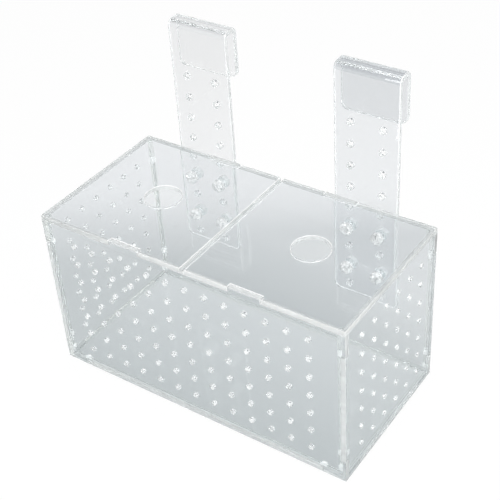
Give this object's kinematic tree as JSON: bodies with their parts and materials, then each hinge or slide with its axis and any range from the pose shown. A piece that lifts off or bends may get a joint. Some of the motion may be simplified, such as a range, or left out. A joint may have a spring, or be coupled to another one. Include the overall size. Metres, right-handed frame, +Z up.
{
  "type": "fish breeding box",
  "caption": "Clear hang-in breeding box with rows of water holes, a two-part lift-off lid with finger holes and two bent hangers for a tank's rim.",
  "frame": {"origin": "middle of the underside of the base panel", "axes": "+Z up, +X along the length of the box to the right, +Y to the rear, where the hangers stand"},
  "size_m": [0.2, 0.112, 0.192],
  "materials": {
    "clear_acrylic_panel": "polished faces, bright laser-cut edges",
    "clear_acrylic_lid": "polished faces, bright laser-cut edges",
    "clear_acrylic_hanger": "polished faces, hot-bent",
    "clear_polycarbonate_fastener": "moulded clear plastic"
  },
  "bodies": {
    "box": {"base_panel": "clear_acrylic_panel", "front_wall": "clear_acrylic_panel", "rear_wall": "clear_acrylic_panel", "left_wall": "clear_acrylic_panel", "right_wall": "clear_acrylic_panel", "hanger_left": "clear_acrylic_hanger", "hanger_right": "clear_acrylic_hanger", "screw_left_lower_outer": "clear_polycarbonate_fastener", "screw_left_lower_inner": "clear_polycarbonate_fastener", "screw_left_upper_outer": "clear_polycarbonate_fastener", "screw_left_upper_inner": "clear_polycarbonate_fastener", "screw_right_lower_outer": "clear_polycarbonate_fastener", "screw_right_lower_inner": "clear_polycarbonate_fastener", "screw_right_upper_outer": "clear_polycarbonate_fastener", "screw_right_upper_inner": "clear_polycarbonate_fastener", "nut_left_lower_outer": "clear_polycarbonate_fastener", "nut_left_lower_inner": "clear_polycarbonate_fastener", "nut_left_upper_outer": "clear_polycarbonate_fastener", "nut_left_upper_inner": "clear_polycarbonate_fastener", "nut_right_lower_outer": "clear_polycarbonate_fastener", "nut_right_lower_inner": "clear_polycarbonate_fastener", "nut_right_upper_outer": "clear_polycarbonate_fastener", "nut_right_upper_inner": "clear_polycarbonate_fastener"},
    "left_lid": {"lid_left": "clear_acrylic_lid"},
    "right_lid": {"lid_right": "clear_acrylic_lid"}
  },
  "joints": [
    {"name": "left_lid_lift", "type": "slide", "parent": "box", "child": "left_lid", "axis": [0, 0, 1], "range_m": [0, 0.08]},
    {"name": "right_lid_lift", "type": "slide", "parent": "box", "child": "right_lid", "axis": [0, 0, 1], "range_m": [0, 0.08]}
  ]
}
